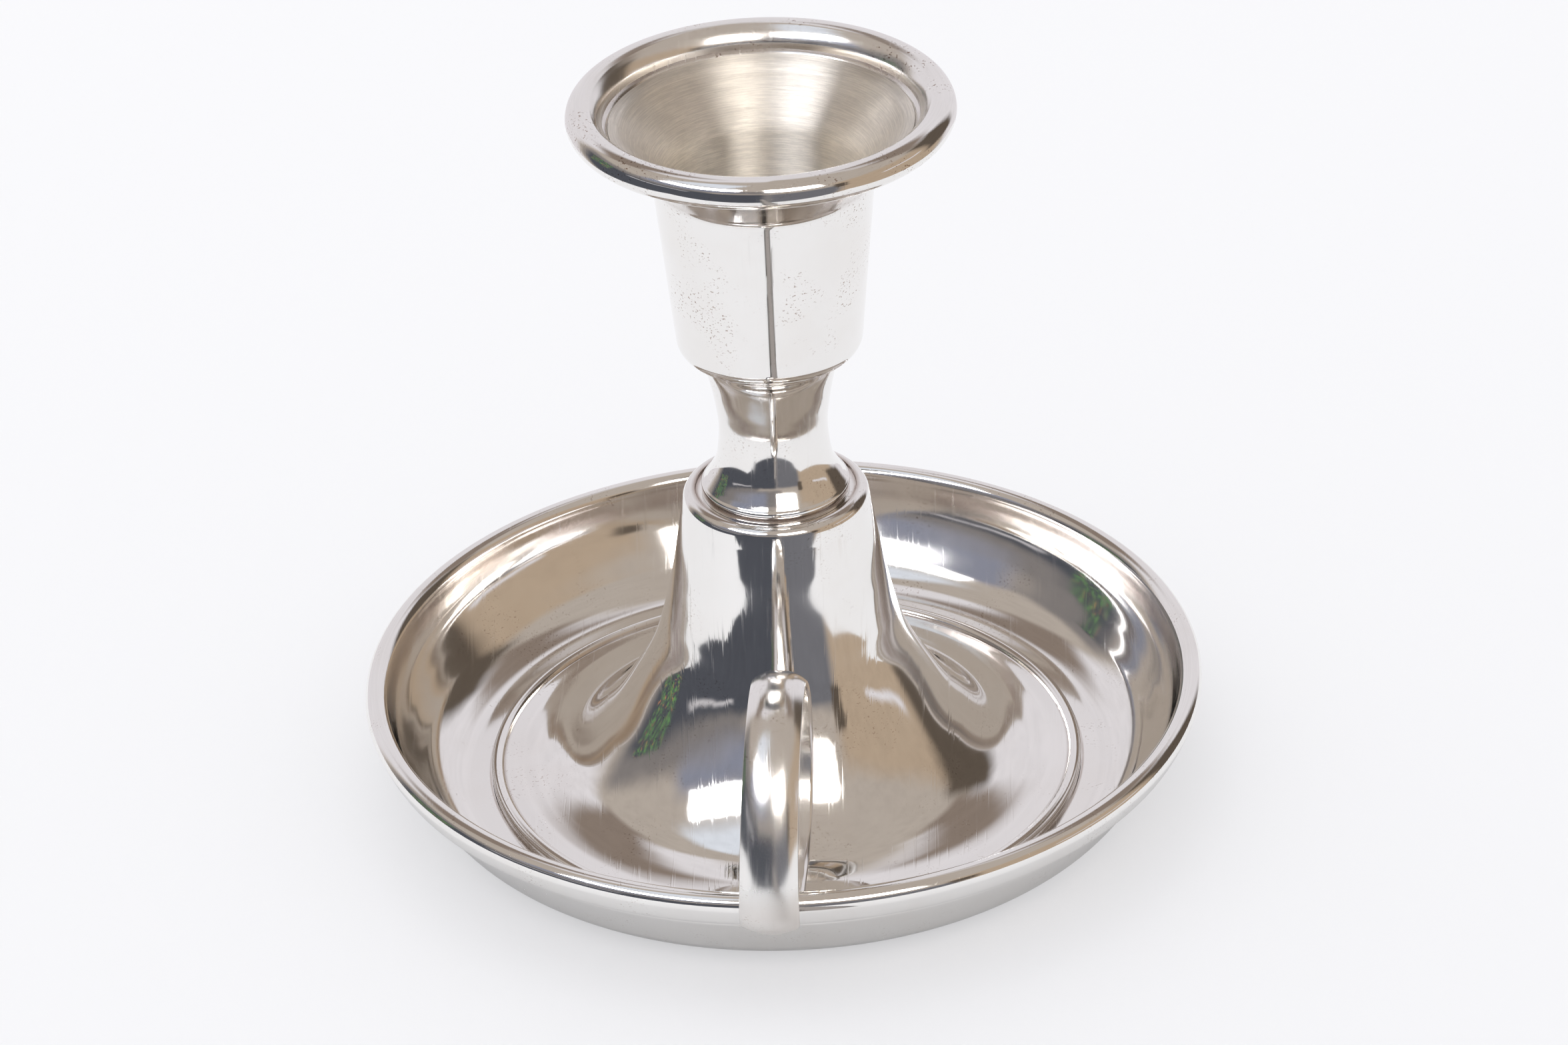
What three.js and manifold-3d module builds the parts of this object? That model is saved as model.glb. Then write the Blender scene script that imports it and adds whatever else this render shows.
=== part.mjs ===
// Chamber candlestick: a spun drip tray with a rolled rim, a bell foot, a turned neck and a flared
// candle cup, stacked on one tie bolt, with a finger loop soldered across the tray's rim.
// Millimetres, +Z up. The origin is on the column's axis, in the plane that the tray rests on.
// The finger loop is on the -Y side.

import * as THREE from 'three';
import { mergeVertices } from 'three/addons/utils/BufferGeometryUtils.js';
import Module from 'manifold-3d';

// Driving dimensions
const SHEET = 0.9; // thickness of the spun sheet
const GAP = 0.3; // clearance between touching pieces
const SEGMENTS = 40; // facets round the axis
const BORE_R = 2.9; // hole for the tie bolt through every piece of the column

const TRAY_R = 65;
const RIM_ROLL_R = 1.7; // outer radius of the tray's rolled rim
const RIM_Z = 16.2; // height of the rolled rim's centre
const BASE_FLAT_R = 48.96; // outer edge of the flat that the tray stands on
const TRAY_CORNER_R = 9.65;
const WALL_SLOPE = 54; // degrees from level
const WALL_TOP_Z = 11.3; // where the wall turns up into the rim
const WELL_R = 17; // raised centre that hides the washer and the nut
const WELL_Z = 6.6;
const REST_R = 34; // inner edge of the flat that the tray stands on

const BELL_FOOT_R = 46.2;
const BELL_BEAD_R = 1.05;
const BELL_SHOULDER_R = 14.25;
const BELL_ROLL_R = 1.6; // rounding of the shoulder
const BELL_TOP_Z = 50.3;
const BELL_SEAT_DEPTH = 0.6; // sunk top that the neck's flange stands in
const NECK_FLANGE_R = 11.3;
const NECK_FLANGE_H = 1.5;
const NECK_Z = 50;

const CUP_Z = 74.2; // underside of the candle cup
const CUP_CORNER_R = 2.7;
const CUP_BASE_R = 14.1;
const CUP_NECK_R = 16.5; // cup wall where the flare starts
const FLARE_Z = 102.2;
const FLARE_R = 3; // fillet between the cup wall and the flared mouth
const FLARE_SLOPE = 50; // degrees from level
const FLARE_TOP_Z = 110.9; // where the flare's underside meets the rolled lip
const LIP_R = 28.8;
const LIP_ROLL_R = 2.4; // outer radius of the cup's rolled lip
const LIP_Z = 113.7; // height of the rolled lip's centre
const MOUTH_Z = 112.4; // where the lip's inner face meets the funnel
const LINER = 0.6; // thickness of the socket liner's funnel
const LINER_TOP_Z = 112.1;
const RING_Z = 110.9; // inner edge of the bevelled ring at the liner's top
const FUNNEL_END_Z = 91; // here the funnel steps in to the candle's bore
const FUNNEL_END_R = 13.6;
const BORE_TOP_Z = 89;
const BORE_TOP_R = 12.25;
const SEAT_Z = 78.8; // the flat that the candle stands on
const SEAT_R = 11.3;

const BOLT_R = 2.5;
const BOLT_HEAD_R = 4.6;
const BOLT_HEAD_H = 1.9;
const BOLT_END_Z = 0.7;
const NUT_FLATS = 8;
const NUT_H = 3.9;
const NUT_Z = 1;
const WASHER_R = 8;
const WASHER_Z = 5.2;

const STRAP_W = 8.8; // width of the finger loop's strap at the rim
const STRAP_TOP_W = 8.1;
const STRAP_EDGE = 1.0; // thickness of the strap's edges
const STRAP_CROWN = 1.5; // how far its domed outer face stands above them
const LOOP_TOP_Z = 40.5;
const TONGUE_ROUND = 3.2; // length over which the tongue's end is rounded
const TONGUE_INSET = 2.4; // how much narrower that makes each side at its tip
const LOOP_LEAN = 1.2; // degrees: the loop was bent and soldered by hand
const LOOP_TWIST = 2.4;

const SILVER = 0xd9d7d2;
const BRUSHED = 0xc9c2b2;
const BRASS = 0xb89b5e;
const STEEL = 0x9a9a98;

const wasm = await Module();
wasm.setup();

const at = (r, z) => new THREE.Vector2(r, z);

// Points of an arc about (cr, cz), from angle a0 to a1 in degrees, both ends included.
function arc(cr, cz, radius, a0, a1, steps) {
  const points = [];
  for (let i = 0; i <= steps; i += 1) {
    const angle = THREE.MathUtils.degToRad(a0 + ((a1 - a0) * i) / steps);
    points.push(at(cr + radius * Math.cos(angle), cz + radius * Math.sin(angle)));
  }
  return points;
}

const smooth = (points, steps) => new THREE.SplineCurve(points).getPoints(steps);

// The same line moved sideways to its left by a distance, point by point.
function offset(points, distance) {
  return points.map((point, i) => {
    const before = points[Math.max(i - 1, 0)];
    const after = points[Math.min(i + 1, points.length - 1)];
    const along = after.clone().sub(before).normalize();
    return at(point.x - along.y * distance, point.y + along.x * distance);
  });
}

// A solid of revolution from a closed outline in (radius, height), drawn anticlockwise.
function turned(outline, segments = SEGMENTS) {
  const first = outline[0];
  const closed = first.x === 0 ? outline : [...outline, first.clone()];
  return new THREE.LatheGeometry(closed, segments).rotateX(Math.PI / 2);
}

function piece(name, geometry, color, roughness) {
  const material = new THREE.MeshStandardMaterial({ color, roughness, metalness: 1 });
  const mesh = new THREE.Mesh(geometry, material);
  mesh.name = name;
  return mesh;
}

function toSolid(geometry) {
  const bare = geometry.clone();
  bare.deleteAttribute('normal');
  bare.deleteAttribute('uv');
  const merged = mergeVertices(bare, 1e-4);
  const mesh = new wasm.Mesh({
    numProp: 3,
    vertProperties: Float32Array.from(merged.attributes.position.array),
    triVerts: Uint32Array.from(merged.index.array),
  });
  return new wasm.Manifold(mesh);
}

function toGeometry(solid) {
  const mesh = solid.getMesh();
  const geometry = new THREE.BufferGeometry();
  geometry.setAttribute('position', new THREE.Float32BufferAttribute(mesh.vertProperties, 3));
  geometry.setIndex(new THREE.Uint32BufferAttribute(mesh.triVerts, 1));
  geometry.computeVertexNormals();
  return geometry;
}

// Drip tray: raised centre, flat base, curved wall, and the edge rolled outwards and down over a wire.
const rollR = TRAY_R - RIM_ROLL_R;
const rollInside = RIM_ROLL_R - SHEET;

// The underside of the tray's floor: the raised well, then the slope down to the flat base.
function trayFloor() {
  const slope = new THREE.CubicBezierCurve(at(WELL_R, WELL_Z), at(25, WELL_Z), at(26, 0), at(REST_R, 0));
  return slope.getPoints(5);
}

// The outside of the tray's wall, from the flat base up to where it turns straight.
const trayWall = () => arc(BASE_FLAT_R, TRAY_CORNER_R, TRAY_CORNER_R, -90, WALL_SLOPE - 90, 5);

function trayOutline() {
  const underside = [...trayFloor(), ...trayWall()];
  const rimInnerR = rollR - RIM_ROLL_R;
  const fold = [at(rollR - 0.65, 12.9), at(rollR, 12.6), at(rollR + 1.05, 14.4)];
  const inside = offset(underside, SHEET).reverse();
  return [
    at(BORE_R, WELL_Z),
    ...underside,
    at(rollR - 1.4, WALL_TOP_Z),
    at(rollR - 1.05, WALL_TOP_Z + 1.3),
    ...arc(rollR, RIM_Z, rollInside, 180, -60, 5).slice(1),
    ...fold,
    ...arc(rollR, RIM_Z, RIM_ROLL_R, -30, 180, 7),
    at(rimInnerR - 0.2, WALL_TOP_Z + 2.1),
    at(rimInnerR - 0.6, WALL_TOP_Z + 0.3),
    ...inside,
    at(BORE_R, WELL_Z + SHEET),
  ];
}

// A wire bent into a ring, held inside a rolled edge.
function rimWire(ringR, z, radius) {
  const sides = 6;
  return turned(arc(ringR, z, radius, 0, 360, sides).slice(0, sides));
}

// Bell foot: a hollow trumpet whose edge ends in a small bead on the tray's floor.
function bellSkirt() {
  return smooth(
    [
      at(44.1, 2.15), at(41, 2.3), at(37.5, 2.95), at(33.3, 4.7), at(27.9, 9.7), at(23.3, 16.2),
      at(19.9, 22.7), at(17.9, 29.2), at(16.4, 35.7), at(15.3, 42.2), at(14.5, 47),
    ],
    13,
  );
}

function bellOutline() {
  const seatZ = BELL_TOP_Z - BELL_SEAT_DEPTH;
  const foot = SHEET + GAP;
  const skirt = bellSkirt();
  const shoulderC = BELL_SHOULDER_R - BELL_ROLL_R;
  const beadR = BELL_FOOT_R - BELL_BEAD_R;
  const inside = offset(skirt, SHEET).reverse().filter((point) => point.y > foot + 0.1);
  return [
    at(40.5, foot),
    at(BELL_FOOT_R, foot),
    ...arc(beadR, foot + 0.7, BELL_BEAD_R, 0, 165, 4),
    ...skirt.slice(1),
    ...arc(shoulderC, BELL_TOP_Z - BELL_ROLL_R, BELL_ROLL_R, 15, 100, 3),
    at(NECK_FLANGE_R + 0.75, seatZ),
    at(BORE_R, seatZ),
    at(BORE_R, seatZ - SHEET),
    at(shoulderC, seatZ - SHEET),
    ...inside,
  ];
}

// Neck: a turned waist on a flange that stands in the bell's top, widening up to the cup.
function neckOutline() {
  const waist = smooth(
    [
      at(10.95, 51.75), at(10.3, 52.75), at(9.05, 55.1), at(8.45, 58.4), at(8.3, 61.7),
      at(8.65, 65), at(9.2, 68.2), at(10.1, 71.9), at(10.8, 73.4),
    ],
    10,
  );
  return [
    at(BORE_R, NECK_Z),
    at(NECK_FLANGE_R, NECK_Z),
    at(NECK_FLANGE_R, NECK_Z + NECK_FLANGE_H),
    ...waist,
    at(10.8, CUP_Z - GAP),
    at(BORE_R, CUP_Z - GAP),
  ];
}

// Candle cup: a tapered shell that flares into a funnel, with its lip rolled over a wire.
const lipR = LIP_R - LIP_ROLL_R;
const lipInside = LIP_ROLL_R - SHEET;
const flareR = CUP_NECK_R + FLARE_R;

// The cup's wall, fillet and funnel up to a height, moved inwards from the outside by a depth.
function cupWall(depth, topZ) {
  const corner = CUP_BASE_R - CUP_CORNER_R;
  const throat = arc(flareR, FLARE_Z, FLARE_R + depth, 175, 90 + FLARE_SLOPE, 3);
  const end = throat[throat.length - 1];
  const reach = (topZ - end.y) / Math.tan(THREE.MathUtils.degToRad(FLARE_SLOPE));
  return [
    ...arc(corner, CUP_Z + CUP_CORNER_R, CUP_CORNER_R - depth, -90, 0, 3),
    ...throat,
    at(end.x + reach, topZ),
  ];
}

function cupOutline() {
  return [
    at(BORE_R, CUP_Z),
    ...cupWall(0, FLARE_TOP_Z),
    ...arc(lipR, LIP_Z, lipInside, 215, -120, 7),
    ...arc(lipR, LIP_Z, LIP_ROLL_R, -120, 150, 10),
    ...cupWall(SHEET, MOUTH_Z).reverse(),
    at(BORE_R, CUP_Z + SHEET),
  ];
}

// Socket liner: a funnel inside the cup with a bevelled ring at its top. Low down it narrows to the
// candle's bore, which ends on a flat seat.
function linerOutline() {
  const outer = cupWall(SHEET + GAP, LINER_TOP_Z).filter((point) => point.y > SEAT_Z);
  const funnel = cupWall(SHEET + GAP + LINER, RING_Z).filter((point) => point.y > BORE_TOP_Z);
  return [
    at(0, SEAT_Z - SHEET),
    at(SEAT_R + 0.4, SEAT_Z - SHEET),
    at(CUP_BASE_R - SHEET - GAP, SEAT_Z),
    ...outer,
    ...funnel.reverse(),
    at(FUNNEL_END_R, FUNNEL_END_Z),
    at(BORE_TOP_R, BORE_TOP_Z),
    at(SEAT_R, SEAT_Z),
    at(0, SEAT_Z),
  ];
}

// Tie bolt from the cup's floor down through the column; its low round head is under the liner.
function boltOutline() {
  const headZ = CUP_Z + SHEET + GAP;
  return [
    at(0, BOLT_END_Z),
    at(BOLT_R - GAP, BOLT_END_Z),
    at(BOLT_R, BOLT_END_Z + GAP),
    at(BOLT_R, headZ),
    at(BOLT_HEAD_R, headZ),
    at(BOLT_HEAD_R, headZ + BOLT_HEAD_H - 0.8),
    at(BOLT_HEAD_R - 1, headZ + BOLT_HEAD_H - 0.1),
    at(0, headZ + BOLT_HEAD_H),
  ];
}

function washerOutline() {
  const top = WELL_Z - GAP;
  return [at(BORE_R, WASHER_Z), at(WASHER_R, WASHER_Z), at(WASHER_R, top), at(BORE_R, top)];
}

function nutGeometry() {
  const hexagon = new THREE.Shape();
  const cornerR = NUT_FLATS / Math.sqrt(3);
  for (let i = 0; i < 6; i += 1) {
    const angle = (i * Math.PI) / 3;
    const method = i === 0 ? 'moveTo' : 'lineTo';
    hexagon[method](cornerR * Math.cos(angle), cornerR * Math.sin(angle));
  }
  hexagon.closePath();
  hexagon.holes.push(new THREE.Path().absarc(0, 0, BORE_R, 0, 2 * Math.PI, true));
  const settings = { depth: NUT_H, bevelEnabled: false, curveSegments: 12 };
  return new THREE.ExtrudeGeometry(hexagon, settings).translate(0, 0, NUT_Z);
}

// Finger loop: a strap with a domed outer face. Its path is the strap's flat inner face, drawn in
// (distance from the axis, height): up from the tongue outside the rim, over, and down to the tray's
// wall on the inside.
const loopPath = [
  [62.35, 11.25], [62.9, 12], [64, 13.5], [64.8, 15.7], [64.6, 18.2], [64.3, 20.7], [62.7, 26.6],
  [59.4, 32.8], [55.3, 37.1], [50.7, 39.7], [46.5, LOOP_TOP_Z], [42.5, 40], [38.6, 38],
  [34.5, 33.1], [32.7, 25.9], [34.5, 19], [38.6, 14.6], [42.9, 12.6], [47, 12.1], [51.5, 12.4],
  [55.8, 12.2], [60.1, 9.35],
];

// The strap's section: x from -1 to 1 over its width, y its thickness at the edges and at the crown.
function strapSection() {
  const section = [at(0.9, 0), at(1, STRAP_EDGE * 0.35)];
  const steps = 6;
  for (let i = 0; i <= steps; i += 1) {
    const x = 1 - (2 * i) / steps;
    section.push(at(x * 0.985, STRAP_EDGE + STRAP_CROWN * (1 - Math.abs(x) ** 2.6)));
  }
  section.push(at(-1, STRAP_EDGE * 0.35), at(-0.9, 0));
  return section;
}

// Half the strap's width, and how much of its full thickness it has, at a distance from the tip.
function strapSize(fromTip, z) {
  const rise = THREE.MathUtils.clamp((z - RIM_Z) / (LOOP_TOP_Z - RIM_Z), 0, 1);
  const half = THREE.MathUtils.lerp(STRAP_W, STRAP_TOP_W, rise) / 2;
  const short = Math.max(1 - fromTip / TONGUE_ROUND, 0);
  const inset = TONGUE_INSET * (1 - Math.sqrt(1 - short ** 2));
  const thickness = THREE.MathUtils.lerp(0.42, 1, THREE.MathUtils.smoothstep(fromTip, 0, 9));
  return { half: half - inset, thickness };
}

// A solid through rings of points that all have the same count, closed at both ends.
function lofted(rings) {
  const count = rings[0].length;
  const index = [];
  for (let ring = 0; ring + 1 < rings.length; ring += 1) {
    for (let i = 0; i < count; i += 1) {
      const a = ring * count + i;
      const b = ring * count + ((i + 1) % count);
      index.push(a, b + count, b, a, a + count, b + count);
    }
  }
  const last = (rings.length - 1) * count;
  for (let i = 1; i + 1 < count; i += 1) {
    index.push(0, i, i + 1, last, last + i + 1, last + i);
  }
  const geometry = new THREE.BufferGeometry().setFromPoints(rings.flat());
  geometry.setIndex(index);
  return geometry;
}

// Distances from the tongue's tip of the strap's sections: close together where the tip is rounded.
function strapStations(length) {
  const tipSteps = 5;
  const steps = 46;
  const stations = [];
  for (let i = 0; i < tipSteps; i += 1) {
    stations.push(TONGUE_ROUND * (1 - Math.cos((i * Math.PI) / 2 / tipSteps)));
  }
  for (let i = 0; i <= steps; i += 1) {
    stations.push(THREE.MathUtils.lerp(TONGUE_ROUND, length, i / steps));
  }
  return stations;
}

function strapSolid() {
  const points = loopPath.map(([s, z]) => new THREE.Vector3(0, -s, z));
  const curve = new THREE.CatmullRomCurve3(points, false, 'centripetal');
  const length = curve.getLength();
  const section = strapSection();
  const rings = strapStations(length).map((fromTip) => {
    const centre = curve.getPointAt(fromTip / length);
    const along = curve.getTangentAt(fromTip / length);
    const outward = new THREE.Vector3(0, -along.z, along.y);
    const size = strapSize(fromTip, centre.z);
    return section.map((point) => {
      const across = new THREE.Vector3(point.x * size.half, 0, 0);
      return centre.clone().addScaledVector(outward, point.y * size.thickness).add(across);
    });
  });
  return toSolid(lofted(rings));
}

// What the loop is cut by: the tray's wall and rim with the clearance round them.
function rimCutter() {
  const wall = trayWall();
  const inner = offset(wall, SHEET + GAP).reverse();
  return turned([
    at(REST_R + 6, -GAP),
    ...offset(wall, -GAP),
    at(rollR - 1.15, WALL_TOP_Z - 0.2),
    at(rollR + 0.3, WALL_TOP_Z + 1.1),
    ...arc(rollR, RIM_Z, RIM_ROLL_R + GAP, -25, 180, 10),
    at(rollR - 2.5, WALL_TOP_Z + 0.7),
    ...inner,
    at(REST_R + 6, SHEET + GAP),
  ]);
}

// The loop leans and is twisted a little about the place where it crosses the rim.
function loopGeometry() {
  const bent = strapSolid()
    .translate([0, rollR, -RIM_Z])
    .rotate([0, LOOP_LEAN, 0])
    .rotate([0, 0, -LOOP_TWIST])
    .translate([0, -rollR, RIM_Z]);
  const bodies = bent.subtract(toSolid(rimCutter())).decompose();
  bodies.sort((a, b) => b.volume() - a.volume());
  return toGeometry(bodies[0]);
}

const stick = new THREE.Group();
stick.add(
  piece('drip_tray', turned(trayOutline()), SILVER, 0.12),
  piece('tray_rim_wire', rimWire(rollR, RIM_Z, rollInside - GAP), BRASS, 0.4),
  piece('bell_foot', turned(bellOutline()), SILVER, 0.1),
  piece('neck_knop', turned(neckOutline()), SILVER, 0.1),
  piece('candle_cup', turned(cupOutline()), SILVER, 0.14),
  piece('cup_lip_wire', rimWire(lipR, LIP_Z, lipInside - GAP), BRASS, 0.4),
  piece('socket_liner', turned(linerOutline()), BRUSHED, 0.35),
  piece('finger_loop', loopGeometry(), SILVER, 0.14),
  piece('tie_bolt', turned(boltOutline(), 24), STEEL, 0.4),
  piece('base_washer', turned(washerOutline(), 24), BRASS, 0.4),
  piece('base_nut', nutGeometry(), BRASS, 0.4),
);

export default stick;
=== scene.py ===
"""A silver-plated chamber candlestick on a pale table. Metres, in the frame's own axes.

The turned pieces and the finger loop are made here again with fine, smooth surfaces, because a mirror
finish shows every facet. Outlines are in millimetres, as (distance from the axis, height).
"""

import math

import bmesh
import bpy
from mathutils import Matrix, Vector


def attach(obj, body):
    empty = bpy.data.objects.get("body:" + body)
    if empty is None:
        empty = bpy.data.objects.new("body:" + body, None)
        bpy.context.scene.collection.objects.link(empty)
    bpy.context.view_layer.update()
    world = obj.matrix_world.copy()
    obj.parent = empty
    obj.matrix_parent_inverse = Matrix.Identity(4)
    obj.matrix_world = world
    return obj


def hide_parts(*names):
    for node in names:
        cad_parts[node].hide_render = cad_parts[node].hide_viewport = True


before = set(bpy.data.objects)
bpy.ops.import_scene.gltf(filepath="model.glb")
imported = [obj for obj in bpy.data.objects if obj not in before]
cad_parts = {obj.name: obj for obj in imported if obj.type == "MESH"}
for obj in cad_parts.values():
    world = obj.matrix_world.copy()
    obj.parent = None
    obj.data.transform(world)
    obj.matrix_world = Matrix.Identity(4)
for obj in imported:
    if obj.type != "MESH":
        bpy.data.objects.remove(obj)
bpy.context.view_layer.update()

MM = 0.001
SEGMENTS = 160  # facets round the axis

# The candlestick, in millimetres: _R is a distance from the axis or a radius, _Z a height.
SHEET = 0.9  # thickness of the spun sheet
BORE_R = 2.9
TOUCH = 0.05  # clearance between touching pieces, which are 0.3 apart in the frame
LONG_STRETCH = 3.0  # a longer stretch of an outline gets an extra point near each end
HOLD_REACH = 0.25  # how far those points are from the ends
AXIS = 1e-6  # a point nearer to the axis than this is on it

TRAY_R = 65.0
RIM_ROLL_R = 1.7
RIM_Z = 16.2
BASE_FLAT_R = 48.96
TRAY_CORNER_R = 9.65
WALL_SLOPE = 54.0
WELL_R = 17.0
WELL_Z = 6.6
REST_R = 34.0

BELL_FOOT_R = 46.2
BELL_BEAD_R = 1.05
BELL_SHOULDER_R = 14.25
BELL_ROLL_R = 1.6
BELL_TOP_Z = 50.3
NECK_FLANGE_R = 11.3
NECK_Z = 50.0

CUP_Z = 74.2
CUP_CORNER_R = 2.7
CUP_BASE_R = 14.1
CUP_NECK_R = 16.5
FLARE_Z = 102.2
FLARE_R = 3.0
FLARE_SLOPE = 50.0
FLARE_TOP_Z = 110.9
LIP_R = 28.8
LIP_ROLL_R = 2.4
LIP_Z = 113.7
MOUTH_Z = 112.4
LINER_SHEET = 0.6
LINER_TOP_Z = 112.1
RING_Z = 110.9
FUNNEL_END_Z = 91.0
FUNNEL_END_R = 13.6
BORE_TOP_Z = 89.0
BORE_TOP_R = 12.25
SEAT_Z = 78.8
SEAT_R = 11.3

STRAP_W = 8.8
STRAP_TOP_W = 8.1
STRAP_EDGE = 1.0
STRAP_CROWN = 1.5
LOOP_TOP_Z = 40.5
TONGUE_ROUND = 3.2
TONGUE_INSET = 2.4
TIP_LENGTH = 9.0  # the tongue thins towards its tip over this length
TIP_SHARE = 0.42  # of its full thickness
LOOP_LEAN = 1.2  # degrees
LOOP_TWIST = 2.4

# The camera, the light and the floor, in metres and degrees.
CAMERA_DISTANCE = 0.7436  # level distance from the column's axis
CAMERA_HEIGHT = 0.4813
CAMERA_AROUND = 2.95  # degrees that it stands towards +X from the finger loop's side
CAMERA_TURN = 2.87
CAMERA_PITCH = 30.49
CAMERA_ROLL = -2.25
CAMERA_LENS = 129.38  # in millimetres, as the sensor's width is
CAMERA_SENSOR = 36.0

SOFTBOX_PLACE = (-0.45, 0.5, 1.2)
SOFTBOX_SIZE = (1.4, 1.0)
SOFTBOX_WATTS = 2.2
FLOOR_HALF = 6.0

# The table's edges, as the polished pieces reflect it, and the narrow dark strip that lies on it.
TABLE_X = (-0.185, 0.19)
TABLE_Y = (-0.15, 0.213)
STRIP_X = (0.003, 0.018)
STRIP_CORE_X = (0.006, 0.016)
STRIP_Y = (-0.4, -0.075)
STRIP_DARK = (0.10, 0.09, 0.08)
STRIP_CORE = (0.36, 0.33, 0.31)
CONTACT_SHADE = (0.075, 0.05)  # the reflected table darkens between these distances from the axis
CONTACT_DEPTH = 0.7

# Colours of the metals and the floor.
SILVER = (0.88, 0.868, 0.85)
# a tarnished brown, also used for the painted shade line in the cup's mouth groove
TARNISH_AND_SHADE = (0.30, 0.20, 0.15)
STAIN = (0.60, 0.50, 0.40)
LINER = (0.92, 0.87, 0.79)
FLOOR = (0.52, 0.52, 0.525)
FLOOR_GLOW = (0.42, 0.42, 0.428)
BACKDROP = (0.93, 0.93, 0.95)
BLACK = (0.0, 0.0, 0.0)
BRASS = (0.72, 0.55, 0.28)
STEEL = (0.5, 0.5, 0.49)
BARE_ROUGHNESS = 0.35

# Marks on the metal, as noise scales per metre. Hairlines are thin across and long along a scratch.
HAZE_SCALE = 90.0
CLOUD_SCALE = 60.0
WEAR_SCALE = 110.0
PIT_SCALE = 2200.0
PIT_STRETCH = (1.0, 1.0, 1.6)
HAIRLINE_SCALE = (1400.0, 45.0, 90.0)
HAIRLINE_TURNS = ((0.3, 0.2, 0.5), (1.2, 0.6, 2.1), (0.7, 1.9, 1.1))
LINER_STAIN_SCALE = 170.0
BARE_WEAR_SCALE = 180.0
BUMP_DEPTH = 0.0001

# Where the silver is tarnished or dull, or darkened by painted shade: _R from the axis and _Z above the
# table, in millimetres.
FLANGE_GROOVE_R = (11.9, 12.7)
FLANGE_GROOVE_Z = (49.2, 49.6)
BELL_BEAD_STAIN_R = (44.0, 44.4)
BELL_LINE_R = (46.3, 46.6)
BELL_LINE_Z = (3.0, 2.0)
RIM_CREASE_R = (60.6, 61.6)
RIM_CREASE_Z = (12.5, 14.0)
FLARE_STAIN_Z = (103.5, 108.0)
# painted shade: a dark line in the groove between the cup's lip and the liner's ring
MOUTH_GROOVE_SHADE_R = (23.0, 23.7)
MOUTH_GROOVE_SHADE_Z = (113.6, 112.9)
CUP_FOOT_R = (10.5, 12.0)
CUP_FOOT_Z = (75.0, 74.4)
LIP_SATIN_R = (27.4, 26.0)
LIP_SATIN_Z = (109.0, 111.0)
TRAY_SATIN_R = (62.2, 61.2)
NECK_STAIN_Z = (50.0, 50.6)
TONGUE_R = (60.0, 62.0)
SOLDER_Z = (21.0, 14.0)
FROSTED_Z = (22.0, 18.0)

# The room that the polished pieces reflect: noise scales, then colours, then the window's place.
ROOM_WAVE = 6.0  # degrees by which the patches' outlines waver
WAVE_SCALE = 5.0
LEAF_SCALE = 34.0
CLOTH_SCALE = 55.0
CLUTTER_SCALE = 14.0
ROOM_WALL = (0.50, 0.44, 0.39)
PALE = (0.82, 0.79, 0.82)
CEILING = (0.80, 0.84, 0.92)
LAMP = (12.0, 12.0, 12.5)
SOFT_LAMP = (10.0, 9.6, 9.2)
SHADE = (0.24, 0.22, 0.215)
NIGHT = (0.085, 0.09, 0.108)
DUSK = (0.18, 0.18, 0.20)
BLUE = (0.27, 0.285, 0.36)
WOOD = (0.50, 0.39, 0.29)
DARK_WOOD = (0.12, 0.095, 0.075)
UMBER = (0.27, 0.215, 0.18)
LEAVES = (0.16, 0.34, 0.12)
CLOTH = (0.55, 0.25, 0.15)
WINDOW_SIDE = (-108, -92)
WINDOW_HEIGHT = (-6, 16)

# Its patches: colour, side from and to, height from and to, softness, in degrees.
# The side is 0 where the finger loop is and 90 towards +X. Later patches cover earlier ones.
ROOM = (
    (CEILING, -78, -22, 52, 78, 7),
    (PALE, 128, 200, -90, 62, 6),
    (PALE, -200, -124, -90, 74, 6),
    (UMBER, 116, 168, 39, 58, 5),
    (UMBER, -168, -118, 39, 58, 5),
    (WOOD, 45, 122, -60, 32, 6),
    (DARK_WOOD, 108, 140, -8, 38, 5),
    (SHADE, -118, -30, -60, 27, 6),
    (SHADE, -34, 12, 20, 36, 5),
    (NIGHT, -112, 4, -60, 15, 4),
    (DUSK, 4, 47, -60, 13, 5),
    (BLUE, -74, -14, 24, 36, 6),
    (DARK_WOOD, 43, 51, 2, 22, 2),
    (LAMP, -66, -13, 36, 48, 1.5),
    (SOFT_LAMP, 4, 38, 27, 45, 2),
    (PALE, 74, 102, 5, 9, 2),
    (PALE, -78, -40, 8, 10, 2),
)


# ---------------------------------------------------------------- outlines

def arc(cr, cz, radius, a0, a1, steps):
    """Points about (cr, cz) from angle a0 to a1 in degrees, both ends included."""
    angles = [math.radians(a0 + (a1 - a0) * i / steps) for i in range(steps + 1)]
    return [(cr + radius * math.cos(a), cz + radius * math.sin(a)) for a in angles]


def bezier(p0, p1, p2, p3, steps):
    """Points of a cubic Bezier curve."""
    points = []
    for i in range(steps + 1):
        t = i / steps
        weights = ((1 - t) ** 3, 3 * t * (1 - t) ** 2, 3 * t * t * (1 - t), t ** 3)
        pairs = list(zip(weights, (p0, p1, p2, p3)))
        points.append((sum(w * p[0] for w, p in pairs), sum(w * p[1] for w, p in pairs)))
    return points


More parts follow.
